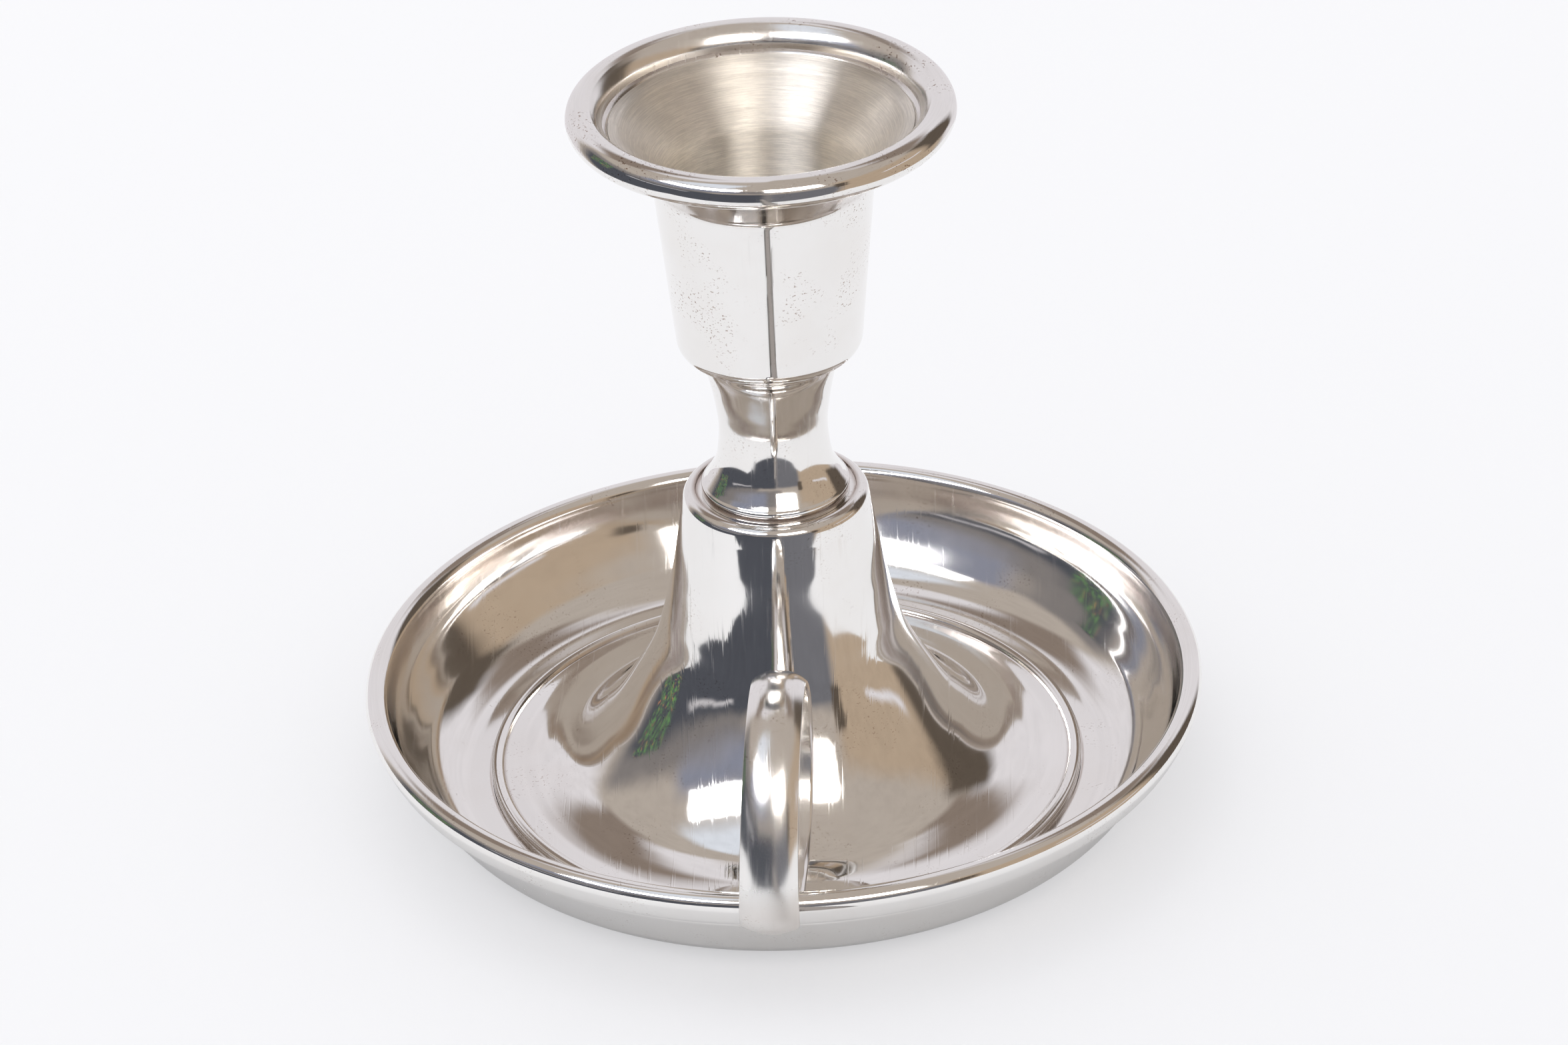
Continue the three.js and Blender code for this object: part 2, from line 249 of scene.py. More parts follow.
def smooth(points, steps):
    """A centripetal Catmull-Rom curve through points, with that many steps between each two."""
    knots = [Vector(p) for p in points]
    knots = [2 * knots[0] - knots[1], *knots, 2 * knots[-1] - knots[-2]]
    made = []
    for i in range(1, len(knots) - 2):
        p0, p1, p2, p3 = knots[i - 1:i + 3]
        d1, d2, d3 = ((b - a).length ** 0.5 for a, b in ((p0, p1), (p1, p2), (p2, p3)))
        m1 = (p1 - p0) / d1 - (p2 - p0) / (d1 + d2) + (p2 - p1) / d2
        m2 = (p2 - p1) / d2 - (p3 - p1) / (d2 + d3) + (p3 - p2) / d3
        for step in range(steps):
            t = step / steps
            h1, h2 = (2 * t ** 3 - 3 * t * t + 1), (3 * t * t - 2 * t ** 3)
            h3, h4 = (t ** 3 - 2 * t * t + t) * d2, (t ** 3 - t * t) * d2
            made.append(tuple(p1 * h1 + p2 * h2 + m1 * h3 + m2 * h4))
    made.append(tuple(knots[-2]))
    return made


def offset(points, distance):
    """The same line moved sideways to its left by a distance."""
    moved = []
    for i, point in enumerate(points):
        before, after = points[max(i - 1, 0)], points[min(i + 1, len(points) - 1)]
        along = (Vector(after) - Vector(before)).normalized()
        moved.append((point[0] - along.y * distance, point[1] + along.x * distance))
    return moved


def held(points):
    """The same closed line, with a point near both ends of each long stretch, to keep it flat there."""
    made = []
    for point, after in zip(points, points[1:] + points[:1]):
        made.append(point)
        start, end = Vector(point), Vector(after)
        if (end - start).length > LONG_STRETCH:
            step = (end - start).normalized() * HOLD_REACH
            made += [tuple(start + step), tuple(end - step)]
    return made


def rounded(corner, before, after, radius, steps=3):
    """A corner between two neighbouring points, cut back by a radius and rounded."""
    corner = Vector(corner)
    start = corner + (Vector(before) - corner).normalized() * radius
    end = corner + (Vector(after) - corner).normalized() * radius
    points = []
    for i in range(steps + 1):
        t = i / steps
        points.append(tuple(start * (1 - t) ** 2 + corner * 2 * t * (1 - t) + end * t * t))
    return points


# ---------------------------------------------------------------- meshes

def finish_piece(name, bm, node, material, sharp_angle):
    """Puts a mesh in the scene as a piece for a CAD node, smooth but for its sharp edges."""
    bmesh.ops.recalc_face_normals(bm, faces=bm.faces)
    for face in bm.faces:
        face.smooth = True
    for edge in bm.edges:
        edge.smooth = edge.calc_face_angle(0.0) < math.radians(sharp_angle)
    mesh = bpy.data.meshes.new(name)
    bm.to_mesh(mesh)
    bm.free()
    mesh.materials.append(material)
    piece = bpy.data.objects.new(name, mesh)
    bpy.context.collection.objects.link(piece)
    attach(piece, "root")
    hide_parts(node)


def ring_round_axis(bm, r, z):
    """Vertices round the axis, or a single one on it."""
    if r < AXIS:
        return [bm.verts.new((0, 0, z * MM))]
    angles = [2 * math.pi * i / SEGMENTS for i in range(SEGMENTS)]
    return [bm.verts.new((r * MM * math.cos(a), r * MM * math.sin(a), z * MM)) for a in angles]


def turned(name, outline, node, material):
    """A solid of revolution from a closed outline, or from an open one that ends on the axis."""
    bm = bmesh.new()
    rings = [ring_round_axis(bm, r, z) for r, z in held(outline)]
    ends_on_axis = outline[0][0] < AXIS
    pairs = zip(rings, rings[1:] if ends_on_axis else rings[1:] + rings[:1])
    for low, high in pairs:
        for i in range(SEGMENTS):
            j = (i + 1) % SEGMENTS
            corners = [low[i % len(low)], low[j % len(low)], high[j % len(high)], high[i % len(high)]]
            bm.faces.new(list(dict.fromkeys(corners)))
    finish_piece(name, bm, node, material, 38)


# ---------------------------------------------------------------- materials

class Nodes:
    """Adds nodes to one shader tree."""

    def __init__(self, tree):
        self.tree = tree

    def add(self, kind, **inputs):
        node = self.tree.nodes.new(kind)
        for name, value in inputs.items():
            self.put(node.inputs[name.replace("_", " ")], value)
        return node

    def put(self, socket, value):
        if isinstance(value, bpy.types.NodeSocket):
            self.tree.links.new(value, socket)
        else:
            socket.default_value = value

    def math(self, operation, first, second=0.0, third=0.0, clamp=False):
        node = self.tree.nodes.new("ShaderNodeMath")
        node.operation = operation
        node.use_clamp = clamp
        for socket, value in zip(node.inputs, (first, second, third)):
            self.put(socket, value)
        return node.outputs[0]

    def ease(self, value, low, high, to_low=0.0, to_high=1.0):
        """A smooth step of value from low to high."""
        node = self.tree.nodes.new("ShaderNodeMapRange")
        node.interpolation_type = "SMOOTHSTEP"
        numbers = (value, low, high, to_low, to_high)
        names = ("Value", "From Min", "From Max", "To Min", "To Max")
        for name, number in zip(names, numbers):
            self.put(node.inputs[name], number)
        return node.outputs[0]

    def band(self, value, low, high, soft):
        """1 where value is between low and high, 0 outside, with soft edges."""
        rise = self.ease(value, low - soft, low + soft)
        fall = self.ease(value, high - soft, high + soft, 1.0, 0.0)
        return self.math("MULTIPLY", rise, fall)

    def mix(self, share, first, second):
        """From the first colour to the second by a share of 0 to 1."""
        node = self.tree.nodes.new("ShaderNodeMix")
        node.data_type = "RGBA"
        self.put(node.inputs["Factor"], share)
        self.put(node.inputs["A"], (*first, 1) if isinstance(first, tuple) else first)
        self.put(node.inputs["B"], (*second, 1) if isinstance(second, tuple) else second)
        return node.outputs["Result"]

    def noise(self, vector, scale, detail=3.0, roughness=0.5):
        inputs = {"Vector": vector, "Scale": scale, "Detail": detail, "Roughness": roughness}
        return self.add("ShaderNodeTexNoise", **inputs).outputs["Fac"]

    def stretched(self, vector, scale, turn=(0.0, 0.0, 0.0)):
        """A vector that makes a noise coarse along some axes and fine along others."""
        node = self.add("ShaderNodeMapping", Vector=vector, Scale=scale, Rotation=turn)
        return node.outputs["Vector"]


def new_material(name):
    """(material, its nodes, its main shader)."""
    material = bpy.data.materials.new(name)
    material.use_nodes = True
    tree = material.node_tree
    return material, Nodes(tree), tree.nodes["Principled BSDF"]


def hairlines(nodes, place):
    """The height of fine scratches that run in three directions."""
    total = 0.0
    for turn in HAIRLINE_TURNS:
        lines = nodes.noise(nodes.stretched(place, HAIRLINE_SCALE, turn), 1.0, 2.0)
        total = nodes.math("ADD", total, nodes.ease(lines, 0.62, 0.72))
    return total


def silver(name, tarnish_and_shade, dull=None, specks=0.4, roughness=0.04, scratches=0.018):
    """Silver plate: a clear mirror with a little haze, hairlines, clouding and small dark pits.

    The two functions say where the piece is satin and where it is brown: tarnished, but in the cup's
    mouth groove painted shade.
    """
    material, nodes, shader = new_material(name)
    place = nodes.add("ShaderNodeTexCoord").outputs["Object"]
    haze = nodes.noise(place, HAZE_SCALE, 4.0)
    lines = hairlines(nodes, place)
    pits = nodes.ease(nodes.noise(nodes.stretched(place, PIT_STRETCH), PIT_SCALE, 2.0), 0.62, 0.68)
    worn = nodes.ease(nodes.noise(place, WEAR_SCALE), 0.5, 0.66)
    pits = nodes.math("MULTIPLY", pits, worn)
    cloudy = nodes.ease(nodes.noise(place, CLOUD_SCALE, 4.0, 0.6), 0.4, 0.75, 0.0, 0.08)
    rough = nodes.ease(haze, 0.35, 0.75, roughness, roughness + 0.05)
    rough = nodes.math("MULTIPLY_ADD", lines, 0.05, rough)
    tint = nodes.mix(cloudy, SILVER, STAIN)
    tint = nodes.mix(nodes.math("MULTIPLY", pits, specks), tint, TARNISH_AND_SHADE)
    share = nodes.math("MULTIPLY", tarnish_and_shade(nodes, place), nodes.ease(haze, 0.3, 0.6, 0.35, 1.0))
    tint = nodes.mix(share, tint, TARNISH_AND_SHADE)
    rough = nodes.math("MULTIPLY_ADD", share, 0.25, rough)
    if dull:
        rough = nodes.math("ADD", rough, dull(nodes, place))
    shader.inputs["Metallic"].default_value = 1.0
    nodes.put(shader.inputs["Base Color"], tint)
    nodes.put(shader.inputs["Roughness"], rough)
    height = nodes.math("ADD", lines, nodes.math("MULTIPLY", haze, 2.0))
    bump = nodes.add("ShaderNodeBump", Strength=scratches, Distance=BUMP_DEPTH, Height=height)
    nodes.put(shader.inputs["Normal"], bump.outputs[0])
    return material


def distance_and_height(nodes, place):
    """(distance from the column's axis, height), both in millimetres."""
    parts = nodes.add("ShaderNodeSeparateXYZ", Vector=place)
    squares = [nodes.math("MULTIPLY", parts.outputs[name], parts.outputs[name]) for name in "XY"]
    distance = nodes.math("SQRT", nodes.math("ADD", *squares))
    return nodes.math("DIVIDE", distance, MM), nodes.math("DIVIDE", parts.outputs["Z"], MM)


def bell_tarnish(nodes, place):
    """Tarnish in the groove round the neck's flange and along the foot's bead."""
    distance, height = distance_and_height(nodes, place)
    round_flange = nodes.band(distance, *FLANGE_GROOVE_R, 0.4)
    groove = nodes.math("MULTIPLY", round_flange, nodes.ease(height, *FLANGE_GROOVE_Z, 0.0, 0.7))
    foot = nodes.math("MULTIPLY", nodes.band(distance, *BELL_BEAD_STAIN_R, 0.2), 0.4)
    return nodes.math("ADD", groove, foot, clamp=True)


def tray_tarnish(nodes, place):
    """A brown line round the bell's foot and stains in the crease under the rim."""
    distance, height = distance_and_height(nodes, place)
    round_bell = nodes.band(distance, *BELL_LINE_R, 0.15)
    line = nodes.math("MULTIPLY", round_bell, nodes.ease(height, *BELL_LINE_Z))
    under_rim = nodes.band(distance, *RIM_CREASE_R, 0.3)
    crease = nodes.math("MULTIPLY", under_rim, nodes.ease(height, *RIM_CREASE_Z))
    return nodes.math("MULTIPLY", nodes.math("ADD", line, crease, clamp=True), 0.5)


def cup_tarnish_and_shade(nodes, place):
    """Tarnish in the flare under the lip and where the cup meets the neck; painted shade in the mouth's
    groove.
    """
    distance, height = distance_and_height(nodes, place)
    flare = nodes.band(height, *FLARE_STAIN_Z, 1.0)
    # painted shade: a dark line in the mouth's groove, between the lip and the liner's ring
    round_mouth = nodes.band(distance, *MOUTH_GROOVE_SHADE_R, 0.25)
    mouth = nodes.math("MULTIPLY", round_mouth, nodes.ease(height, *MOUTH_GROOVE_SHADE_Z, 0.0, 2.0))
    round_foot = nodes.band(distance, *CUP_FOOT_R, 0.5)
    foot = nodes.math("MULTIPLY", round_foot, nodes.ease(height, *CUP_FOOT_Z))
    stain_and_groove_shade = nodes.math("ADD", nodes.math("ADD", flare, mouth), foot, clamp=True)
    return nodes.math("MULTIPLY", stain_and_groove_shade, 0.25)


def cup_dullness(nodes, place):
    """The lip's inner side is satin, not mirror bright."""
    distance, height = distance_and_height(nodes, place)
    inner = nodes.ease(distance, *LIP_SATIN_R)
    return nodes.math("MULTIPLY", inner, nodes.ease(height, *LIP_SATIN_Z, 0.0, 0.11))


def tray_dullness(nodes, place):
    """The tray inside the rim is a little satin."""
    distance, _ = distance_and_height(nodes, place)
    return nodes.ease(distance, *TRAY_SATIN_R, 0.0, 0.03)


def neck_tarnish(nodes, place):
    """Tarnish low round the neck's flange."""
    _, height = distance_and_height(nodes, place)
    return nodes.math("MULTIPLY", nodes.band(height, *NECK_STAIN_Z, 0.3), 0.4)


def loop_tarnish(nodes, place):
    """Tarnish low on the outer limb, where it is soldered to the tray."""
    distance, height = distance_and_height(nodes, place)
    tongue = nodes.ease(distance, *TONGUE_R)
    return nodes.math("MULTIPLY", tongue, nodes.ease(height, *SOLDER_Z, 0.0, 0.22))


def loop_dullness(nodes, place):
    """The tongue outside the rim is frosted by the solder and the file."""
    distance, height = distance_and_height(nodes, place)
    tongue = nodes.ease(distance, *TONGUE_R)
    return nodes.math("MULTIPLY", tongue, nodes.ease(height, *FROSTED_Z, 0.0, 0.3))


def darker(colour, share):
    """A colour with that share of its brightness."""
    return tuple(channel * share for channel in colour)


def turned_silver(name):
    """Worn plate with fine grooves round the axis, which stretch every highlight towards the axis."""
    material, nodes, shader = new_material(name)
    place = nodes.add("ShaderNodeTexCoord").outputs["Object"]
    distance, height = distance_and_height(nodes, place)
    along = nodes.math("MULTIPLY_ADD", height, 0.6, distance)
    parts = nodes.add("ShaderNodeSeparateXYZ", Vector=place)
    angle = nodes.math("ARCTAN2", parts.outputs["Y"], parts.outputs["X"])
    rings = nodes.add("ShaderNodeCombineXYZ", X=along, Y=nodes.math("MULTIPLY", angle, 0.6))
    fine = nodes.noise(rings.outputs[0], 5.0, 5.0, 0.8)
    broad = nodes.noise(rings.outputs[0], 1.3, 2.0)
    stain = nodes.noise(place, LINER_STAIN_SCALE, 5.0, 0.6)
    tint = nodes.mix(nodes.ease(stain, 0.4, 0.75, 0.0, 0.4), LINER, darker(LINER, 0.7))
    tint = nodes.mix(nodes.ease(fine, 0.62, 0.4, 0.0, 0.35), tint, darker(LINER, 0.45))
    shader.inputs["Metallic"].default_value = 0.92
    shader.inputs["Anisotropic"].default_value = 1.0
    shader.inputs["Anisotropic Rotation"].default_value = 0.25
    nodes.put(shader.inputs["Base Color"], tint)
    nodes.put(shader.inputs["Roughness"], nodes.ease(broad, 0.3, 0.7, 0.38, 0.45))
    tangent = nodes.add("ShaderNodeTangent")
    tangent.direction_type = "RADIAL"
    tangent.axis = "Z"
    nodes.put(shader.inputs["Tangent"], tangent.outputs[0])
    bump = nodes.add("ShaderNodeBump", Strength=0.3, Distance=BUMP_DEPTH, Height=fine)
    nodes.put(shader.inputs["Normal"], bump.outputs[0])
    return material


def bare_metal(name, colour):
    """Dull metal that nobody sees or polishes, with uneven wear."""
    material, nodes, shader = new_material(name)
    place = nodes.add("ShaderNodeTexCoord").outputs["Object"]
    wear = nodes.noise(place, BARE_WEAR_SCALE, 5.0, 0.6)
    rough = nodes.ease(wear, 0.3, 0.7, BARE_ROUGHNESS, BARE_ROUGHNESS + 0.2)
    shader.inputs["Metallic"].default_value = 1.0
    nodes.put(shader.inputs["Base Color"], nodes.mix(wear, colour, darker(colour, 0.6)))
    nodes.put(shader.inputs["Roughness"], rough)
    return material


# ---------------------------------------------------------------- turned pieces

ROLL_R = TRAY_R - RIM_ROLL_R
ROLL_INSIDE = RIM_ROLL_R - SHEET
LIP_ROLL_C = LIP_R - LIP_ROLL_R
LIP_INSIDE = LIP_ROLL_R - SHEET


def tray_outline():
    """A raised centre, a flat ring to stand on, a curved wall and a rim rolled over its wire."""
    slope = bezier((WELL_R, WELL_Z), (25, WELL_Z), (26, 0), (REST_R, 0), 20)
    corner = arc(BASE_FLAT_R, TRAY_CORNER_R, TRAY_CORNER_R, -90, WALL_SLOPE - 90, 20)
    wall_top = (ROLL_R - 1.4, 11.3)
    under = [*slope, *corner, *rounded(wall_top, corner[-1], (ROLL_R - 1.05, 12.6), 0.3)]
    hem = [(ROLL_R - 0.75, 12.7), (ROLL_R - 0.35, 12.35), (ROLL_R + 0.15, 12.65), (ROLL_R + 1.0, 14.2)]
    inside = offset([*slope, *corner], SHEET)
    inside.reverse()
    crease = (ROLL_R - RIM_ROLL_R - 0.1, RIM_Z - 0.3)
    wall = smooth([inside[0], (58.4, 7.95), (60.3, 11.3), (61.2, 14.2), crease], 12)
    wall.reverse()
    return [
        (BORE_R, WELL_Z),
        *under,
        *arc(ROLL_R, RIM_Z, ROLL_INSIDE, 200, -50, 16),
        *smooth(hem, 5),
        *arc(ROLL_R, RIM_Z, RIM_ROLL_R, -28, 180, 30),
        *wall,
        *inside[1:],
        (BORE_R, WELL_Z + SHEET),
    ]


def bell_skirt():
    """The bell's flank, from its bead up to its shoulder."""
    return smooth(
        [
            (44.1, 2.15), (41, 2.3), (37.5, 2.95), (33.3, 4.7), (27.9, 9.7), (23.3, 16.2),
            (19.9, 22.7), (17.9, 29.2), (16.4, 35.7), (15.3, 42.2), (14.5, 47),
        ],
        14,
    )


def bell_outline():
    """The bell, with a bead at its foot and a rolled shoulder round the neck's seat."""
    seat_z = BELL_TOP_Z - 0.6
    foot = SHEET + TOUCH
    skirt = bell_skirt()
    shoulder_c = BELL_SHOULDER_R - BELL_ROLL_R
    bead_c = BELL_FOOT_R - BELL_BEAD_R
    inside = [p for p in reversed(offset(skirt, SHEET)) if p[1] > foot + 0.1]
    return [
        (40.5, foot),
        (BELL_FOOT_R - 0.3, foot),
        (BELL_FOOT_R, foot + 0.3),
        *arc(bead_c, foot + 0.95, BELL_BEAD_R, 0, 165, 12),
        *skirt[1:],
        *arc(shoulder_c, BELL_TOP_Z - BELL_ROLL_R, BELL_ROLL_R, 8, 100, 14),
        (NECK_FLANGE_R + 0.95, seat_z + 0.2),
        (NECK_FLANGE_R + 0.6, seat_z),
        (BORE_R, seat_z),
        (BORE_R, seat_z - SHEET),
        (shoulder_c, seat_z - SHEET),
        *inside,
    ]


def neck_outline():
    """A flange in the bell's top and a waisted neck up to the cup."""
    waist = smooth(
        [
            (10.95, 51.75), (10.3, 52.75), (9.05, 55.1), (8.45, 58.4), (8.3, 61.7),
            (8.65, 65), (9.2, 68.2), (10.1, 71.9), (10.8, 73.4),
        ],
        8,
    )
    low = NECK_Z - 0.25
    step = (NECK_FLANGE_R, NECK_Z + 1.5)
    return [
        (BORE_R, low),
        (NECK_FLANGE_R, low),
        *rounded(step, (NECK_FLANGE_R, low), waist[0], 0.25),
        *waist,
        (10.85, CUP_Z - TOUCH),
        (BORE_R, CUP_Z - TOUCH),
    ]


def cup_wall(depth, top_z):
    """The cup's wall, fillet and funnel up to a height, moved inwards from the outside by a depth."""
    corner_c = CUP_BASE_R - CUP_CORNER_R
    throat_c = CUP_NECK_R + FLARE_R
    throat = arc(throat_c, FLARE_Z, FLARE_R + depth, 175, 90 + FLARE_SLOPE, 14)
    end = throat[-1]
    reach = (top_z - end[1]) / math.tan(math.radians(FLARE_SLOPE))
    return [
        *arc(corner_c, CUP_Z + CUP_CORNER_R, CUP_CORNER_R - depth, -90, -5, 10),
        *throat,
        (end[0] + reach, top_z),
    ]


def cup_outline():
    """The cup, its flare and the lip rolled over its wire."""
    return [
        (BORE_R, CUP_Z),
        *cup_wall(0, FLARE_TOP_Z),
        *arc(LIP_ROLL_C, LIP_Z, LIP_INSIDE, 215, -120, 20),
        *arc(LIP_ROLL_C, LIP_Z, LIP_ROLL_R, -120, 120, 36),
        *smooth([(25.2, 115.78), (24.3, 114.95), (23.55, 113.7), (23.37, MOUTH_Z)], 8)[1:-1],
        *reversed(cup_wall(SHEET, MOUTH_Z)),
        (BORE_R, CUP_Z + SHEET),
    ]


def liner_outline():
    """The funnel and the bore that grip the candle, with a raised ring at the mouth."""
    outer = [p for p in cup_wall(SHEET + TOUCH, LINER_TOP_Z) if p[1] > SEAT_Z]
    funnel = [p for p in cup_wall(SHEET + 0.3 + LINER_SHEET, RING_Z) if p[1] > BORE_TOP_Z]
    ring_edge = (outer[-1][0] - 0.1, LINER_TOP_Z + 0.1)
    ring = smooth([ring_edge, (21.4, 111.75), (20.8, 111.25), funnel[-1]], 4)
    return [
        (0, SEAT_Z - SHEET),
        (SEAT_R + 0.4, SEAT_Z - SHEET),
        (CUP_BASE_R - SHEET - 0.3, SEAT_Z),
        *outer,
        *ring[:-1],
        *reversed(funnel),
        (FUNNEL_END_R, FUNNEL_END_Z),
        (BORE_TOP_R, BORE_TOP_Z),
        (SEAT_R, SEAT_Z),
        (0, SEAT_Z),
    ]


# ---------------------------------------------------------------- finger loop

LOOP_PATH = [
    (62.35, 11.25), (62.9, 12), (64, 13.5), (64.8, 15.7), (64.6, 18.2), (64.3, 20.7), (62.7, 26.6),
    (59.4, 32.8), (55.3, 37.1), (50.7, 39.7), (46.5, LOOP_TOP_Z), (42.5, 40), (38.6, 38),
    (34.5, 33.1), (32.7, 25.9), (34.5, 19), (38.6, 14.6), (42.9, 12.6), (47, 12.1), (51.5, 12.4),
    (55.8, 12.2), (60.1, 9.35),
]


def strap_section():
    """x from -1 to 1 over the width, y the thickness at the edges and at the crown."""
    half = [(0.0, 0.0), (0.86, 0.0), (0.96, 0.12), (1.0, 0.4), (1.0, STRAP_EDGE - 0.25)]
    steps = 10
    for i in range(steps):
        x = math.cos(math.pi / 2 * i / steps) ** 0.6
        half.append((0.985 * x, STRAP_EDGE + STRAP_CROWN * (1 - x ** 2.6)))
    crown = (0.0, STRAP_EDGE + STRAP_CROWN)
    left = [(-x, y) for x, y in reversed(half[1:])]
    return [*half[1:], crown, *left]


def strap_size(from_tip, z):
    """Half the strap's width, and how much of its full thickness it has."""
    rise = min(max((z - RIM_Z) / (LOOP_TOP_Z - RIM_Z), 0), 1)
    half = (STRAP_W + (STRAP_TOP_W - STRAP_W) * rise) / 2
    short = max(1 - from_tip / TONGUE_ROUND, 0)
    inset = TONGUE_INSET * (1 - math.sqrt(1 - short ** 2))
    t = min(from_tip / TIP_LENGTH, 1)
    return half - inset, TIP_SHARE + (1 - TIP_SHARE) * t * t * (3 - 2 * t)


def loop_stations(path):
    """(centre, direction, distance from the tip) along the path."""
    lengths = [0.0]
    for a, b in zip(path, path[1:]):
        lengths.append(lengths[-1] + (Vector(b) - Vector(a)).length)

    def at(distance):
        i = max(k for k, done in enumerate(lengths[:-1]) if done <= distance)
        share = (distance - lengths[i]) / (lengths[i + 1] - lengths[i])
        return Vector(path[i]).lerp(Vector(path[i + 1]), share)

    tip_steps, steps, reach = 10, 150, 0.4
    total = lengths[-1] - 1e-6
    wanted = [TONGUE_ROUND * (1 - math.cos(math.pi / 2 * i / tip_steps)) for i in range(tip_steps)]
    wanted += [TONGUE_ROUND + (total - TONGUE_ROUND) * i / steps for i in range(steps + 1)]
    made = []
    for distance in wanted:
        ahead = at(min(distance + reach, total))
        behind = at(max(distance - reach, 0))
        made.append((at(distance), (ahead - behind).normalized(), distance))
    return made


def make_loop(material):
    """The strap's section carried along the loop's path and closed, then leaned and twisted."""
    section = strap_section()
    bm = bmesh.new()
    rings = []
    for centre, along, from_tip in loop_stations(smooth(LOOP_PATH, 12)):
        half, share = strap_size(from_tip, centre.y)
        ring = []
        for x, y in section:
            s = centre.x + along.y * y * share
            z = centre.y - along.x * y * share
            ring.append(bm.verts.new((x * half * MM, -s * MM, z * MM)))
        rings.append(ring)
    for low, high in zip(rings, rings[1:]):
        for i in range(len(section)):
            j = (i + 1) % len(section)
            bm.faces.new((low[i], low[j], high[j], high[i]))
    bm.faces.new(rings[0])
    bm.faces.new(rings[-1])
    pivot = Matrix.Translation((0, -ROLL_R * MM, RIM_Z * MM))
    lean = Matrix.Rotation(math.radians(LOOP_LEAN), 4, "Y")
    twist = Matrix.Rotation(math.radians(-LOOP_TWIST), 4, "Z")
    bmesh.ops.transform(bm, matrix=pivot @ twist @ lean @ pivot.inverted(), verts=bm.verts)
    finish_piece("loop", bm, "finger_loop", material, 50)


# ---------------------------------------------------------------- room, floor and camera

def make_floor():
    """A large pale floor in the plane that the tray stands on."""
    mesh = bpy.data.meshes.new("floor")
    signs = ((-1, -1), (1, -1), (1, 1), (-1, 1))
    corners = [(x * FLOOR_HALF, y * FLOOR_HALF, 0) for x, y in signs]
    mesh.from_pydata(corners, [], [(0, 1, 2, 3)])
    mesh.materials.append(floor_material())
    floor = bpy.data.objects.new("floor", mesh)
    bpy.context.collection.objects.link(floor)


def floor_material():
    """Pale and matt. Mirrors see only a table of it, with the dark strip and a shade by the tray."""
    material, nodes, shader = new_material("pale_floor")
    shader.inputs["Roughness"].default_value = 0.6
    shader.inputs["Specular IOR Level"].default_value = 0.1
    place = nodes.add("ShaderNodeTexCoord").outputs["Object"]
    parts = nodes.add("ShaderNodeSeparateXYZ", Vector=place)
    x, y = parts.outputs["X"], parts.outputs["Y"]
    glossy = nodes.add("ShaderNodeLightPath").outputs["Is Glossy Ray"]
    strip = nodes.math("MULTIPLY", nodes.band(x, *STRIP_X, 0.0008), nodes.band(y, *STRIP_Y, 0.001))
    strip_seen = nodes.math("MULTIPLY", strip, glossy)
    strip_colour = nodes.mix(nodes.band(x, *STRIP_CORE_X, 0.0015), STRIP_DARK, STRIP_CORE)
    nodes.put(shader.inputs["Base Color"], nodes.mix(strip_seen, FLOOR, strip_colour))
    apart = nodes.add("ShaderNodeVectorMath", Vector=place)
    apart.operation = "LENGTH"
    shade = nodes.ease(apart.outputs["Value"], *CONTACT_SHADE, 0.0, CONTACT_DEPTH)
    unlit = nodes.math("MAXIMUM", strip_seen, nodes.math("MULTIPLY", shade, glossy))
    nodes.put(shader.inputs["Emission Color"], nodes.mix(unlit, FLOOR_GLOW, BLACK))
    shader.inputs["Emission Strength"].default_value = 1.0
    table = nodes.math("MULTIPLY", nodes.band(x, *TABLE_X, 0.003), nodes.band(y, *TABLE_Y, 0.003))
    off_table = nodes.math("SUBTRACT", 1.0, nodes.math("MAXIMUM", table, strip))
    choice = nodes.add("ShaderNodeMixShader")
    nodes.put(choice.inputs[0], nodes.math("MULTIPLY", off_table, glossy))
    nodes.put(choice.inputs[1], shader.outputs[0])
    nodes.put(choice.inputs[2], nodes.add("ShaderNodeBsdfTransparent").outputs[0])
    nodes.put(material.node_tree.nodes["Material Output"].inputs["Surface"], choice.outputs[0])
    return material


def room_directions(nodes):
    """(direction, side, height) of a ray. The last two are in degrees, with wavering outlines."""
    way = nodes.add("ShaderNodeTexCoord").outputs["Generated"]
    parts = nodes.add("ShaderNodeSeparateXYZ", Vector=way)
    x, y, z = (parts.outputs[name] for name in "XYZ")
    degrees = 180 / math.pi
    wave = nodes.math("MULTIPLY_ADD", nodes.noise(way, WAVE_SCALE), ROOM_WAVE, -ROOM_WAVE / 2)
    height = nodes.math("MULTIPLY_ADD", nodes.math("ARCSINE", z), degrees, wave)
    turn = nodes.math("ARCTAN2", x, nodes.math("MULTIPLY", y, -1.0))
    return way, nodes.math("MULTIPLY_ADD", turn, degrees, wave), height


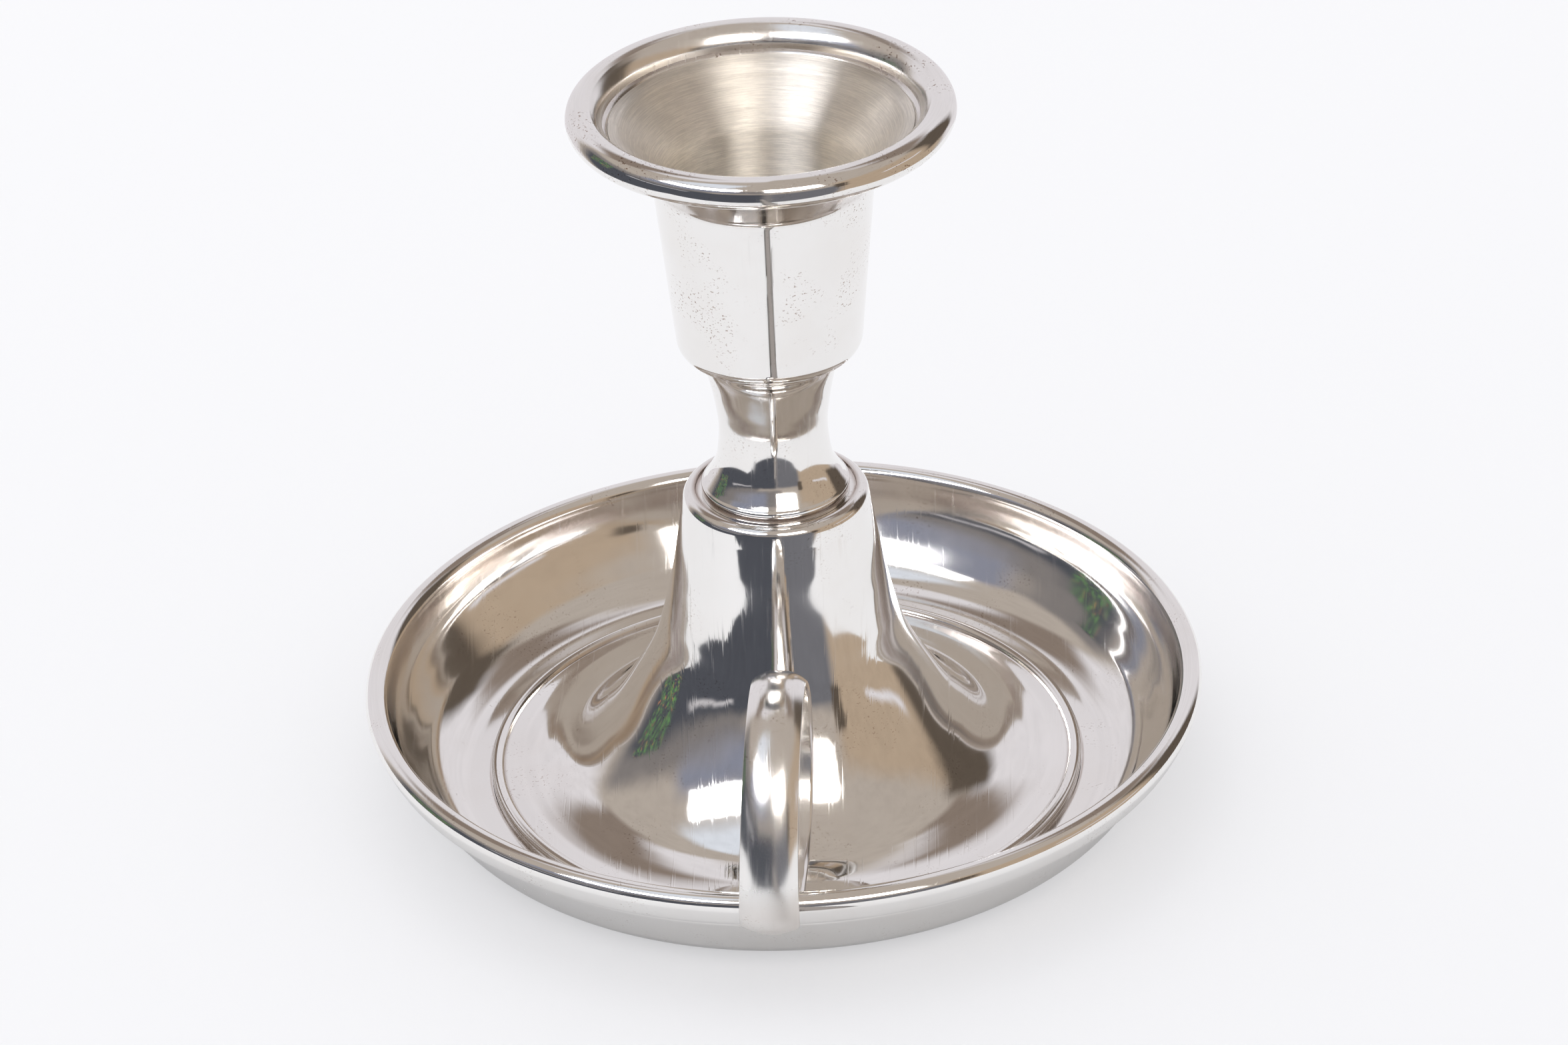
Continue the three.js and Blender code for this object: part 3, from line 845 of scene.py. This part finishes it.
def make_room():
    """Mirror reflections see the patches of ROOM. Diffuse surfaces and the camera see pale walls."""
    world = bpy.data.worlds.new("studio")
    bpy.context.scene.world = world
    world.use_nodes = True
    world.cycles.sampling_method = "NONE"
    nodes = Nodes(world.node_tree)
    way, side, height = room_directions(nodes)

    def patch(sides, heights, soft):
        return nodes.math("MULTIPLY", nodes.band(side, *sides, soft), nodes.band(height, *heights, soft))

    light = ROOM_WALL
    for colour, side_from, side_to, height_from, height_to, soft in ROOM:
        light = nodes.mix(patch((side_from, side_to), (height_from, height_to), soft), light, colour)
    leaves = nodes.mix(nodes.ease(nodes.noise(way, LEAF_SCALE, 4.0, 0.7), 0.5, 0.6), NIGHT, LEAVES)
    garden = nodes.mix(nodes.ease(nodes.noise(way, CLOTH_SCALE, 2.0), 0.62, 0.68), leaves, CLOTH)
    light = nodes.mix(patch(WINDOW_SIDE, WINDOW_HEIGHT, 1.0), light, garden)
    clutter = nodes.noise(way, CLUTTER_SCALE, 4.0, 0.6)
    light = nodes.mix(nodes.ease(clutter, 0.3, 0.8, 0.0, 0.1), light, BLACK)
    rays = nodes.add("ShaderNodeLightPath")
    for plain in ("Is Diffuse Ray", "Is Camera Ray"):
        light = nodes.mix(rays.outputs[plain], light, BACKDROP)
    background = world.node_tree.nodes["Background"]
    background.inputs["Strength"].default_value = 1.0
    nodes.put(background.inputs["Color"], light)


def make_light():
    """One broad soft light from behind and to the left of the object, hidden from reflections."""
    lamp = bpy.data.lights.new("softbox", "AREA")
    lamp.shape = "RECTANGLE"
    lamp.size, lamp.size_y = SOFTBOX_SIZE
    lamp.energy = SOFTBOX_WATTS
    holder = bpy.data.objects.new("softbox", lamp)
    holder.location = SOFTBOX_PLACE
    holder.rotation_euler = (-holder.location).to_track_quat("-Z", "Y").to_euler()
    holder.visible_glossy = False
    bpy.context.collection.objects.link(holder)


def make_camera():
    """A long lens, a little to the right of the finger loop and looking down on it."""
    data = bpy.data.cameras.new("camera")
    data.sensor_width = CAMERA_SENSOR
    data.lens = CAMERA_LENS
    data.clip_start = 0.01
    camera = bpy.data.objects.new("camera", data)
    bpy.context.collection.objects.link(camera)
    around = math.radians(CAMERA_AROUND)
    right = math.sin(around) * CAMERA_DISTANCE
    forward = -math.cos(around) * CAMERA_DISTANCE
    place = Vector((right, forward, CAMERA_HEIGHT))
    turn = Matrix.Rotation(math.radians(CAMERA_TURN), 4, "Z")
    pitch = Matrix.Rotation(math.radians(90 - CAMERA_PITCH), 4, "X")
    roll = Matrix.Rotation(math.radians(CAMERA_ROLL), 4, "Z")
    camera.matrix_world = Matrix.Translation(place) @ turn @ pitch @ roll
    bpy.context.scene.camera = camera


# ---------------------------------------------------------------- build

make_camera()
make_floor()
make_room()
make_light()
bpy.context.scene.view_settings.view_transform = "Standard"

tray_silver = silver("tray_silver", tray_tarnish, tray_dullness)
bell_silver = silver("bell_silver", bell_tarnish, scratches=0.035)
neck_silver = silver("neck_silver", neck_tarnish)
cup_silver = silver("cup_silver", cup_tarnish_and_shade, cup_dullness, specks=0.9)
loop_silver = silver("loop_silver", loop_tarnish, loop_dullness, roughness=0.15, scratches=0.05)
liner_silver = turned_silver("liner_silver")

turned("tray", tray_outline(), "drip_tray", tray_silver)
turned("bell", bell_outline(), "bell_foot", bell_silver)
turned("neck", neck_outline(), "neck_knop", neck_silver)
turned("cup", cup_outline(), "candle_cup", cup_silver)
turned("liner", liner_outline(), "socket_liner", liner_silver)
make_loop(loop_silver)

bare = {"brass": bare_metal("brass", BRASS), "steel": bare_metal("steel", STEEL)}
for metal, node in (
    ("brass", "tray_rim_wire"),
    ("brass", "cup_lip_wire"),
    ("brass", "base_washer"),
    ("brass", "base_nut"),
    ("steel", "tie_bolt"),
):
    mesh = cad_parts[node].data
    mesh.materials.clear()
    mesh.materials.append(bare[metal])
